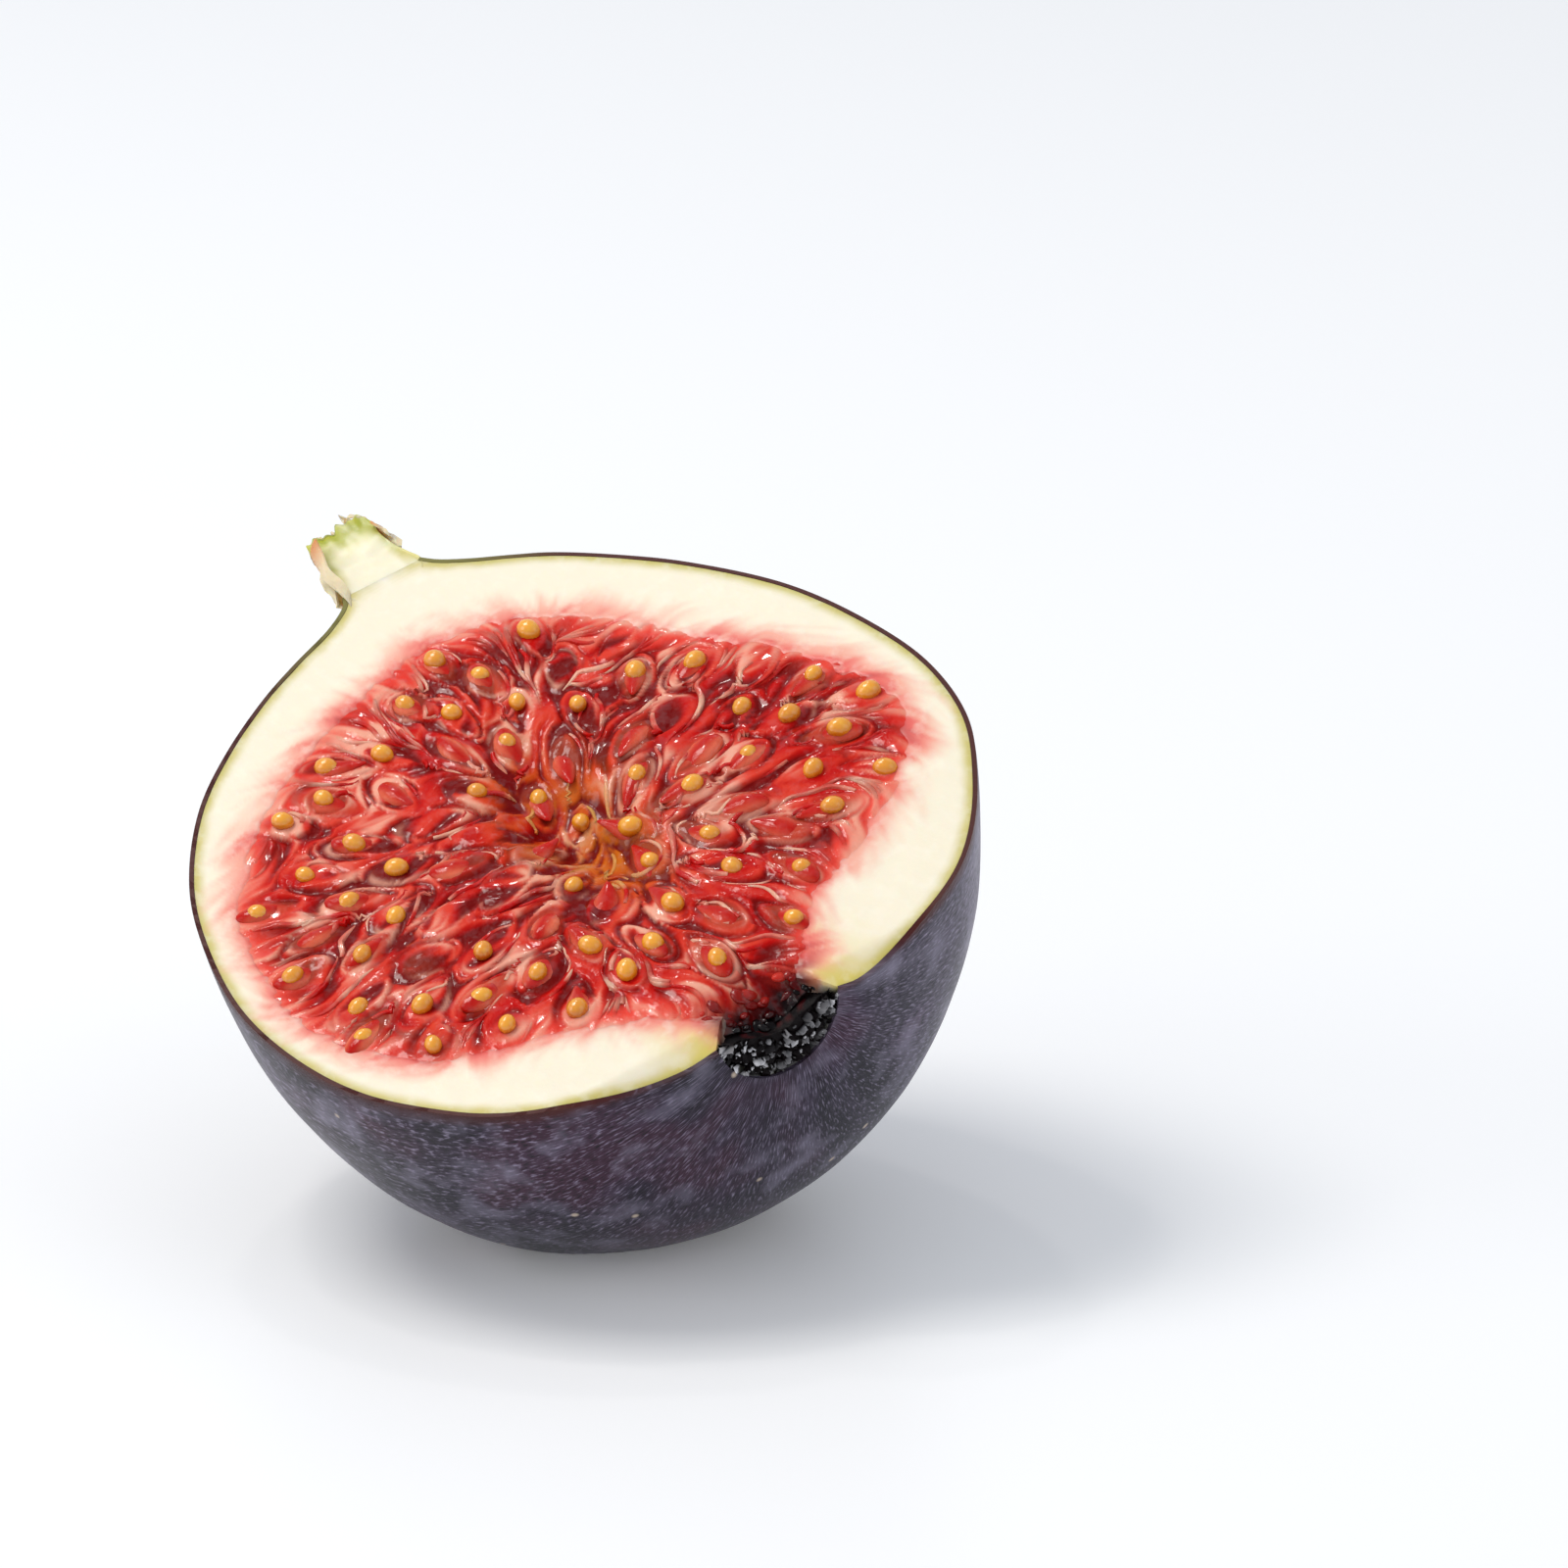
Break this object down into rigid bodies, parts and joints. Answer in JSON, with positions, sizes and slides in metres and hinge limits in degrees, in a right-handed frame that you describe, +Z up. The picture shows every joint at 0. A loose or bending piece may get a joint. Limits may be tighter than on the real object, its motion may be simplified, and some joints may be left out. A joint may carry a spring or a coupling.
{
  "type": "halved fresh fig",
  "caption": "Fresh purple fig cut in half lengthwise, lying on its skin with the cut face up, showing cream flesh and red seeded pulp.",
  "frame": {"origin": "bottom centre of the box, on the surface that the half lies on", "axes": "+X from the stem to the eye as the half lies, +Z up, the cut face looking up and towards -Y"},
  "size_m": [0.0574, 0.0486, 0.0376],
  "materials": {
    "skin": "thin dark purple skin with a matt grey bloom and fine lengthwise lines",
    "flesh": "moist cream flesh, yellow-green just under the skin and pink at the pulp",
    "pulp": "wet translucent red pulp with pale pink strands and golden seeds",
    "stem": "dry green-yellow stem with brown papery scales",
    "eye": "dry dark maroon scales with pale grey crusted tips"
  },
  "bodies": {
    "root": {"skin": "skin", "flesh": "flesh", "pulp": "pulp", "stem": "stem", "eye": "eye"}
  },
  "joints": []
}
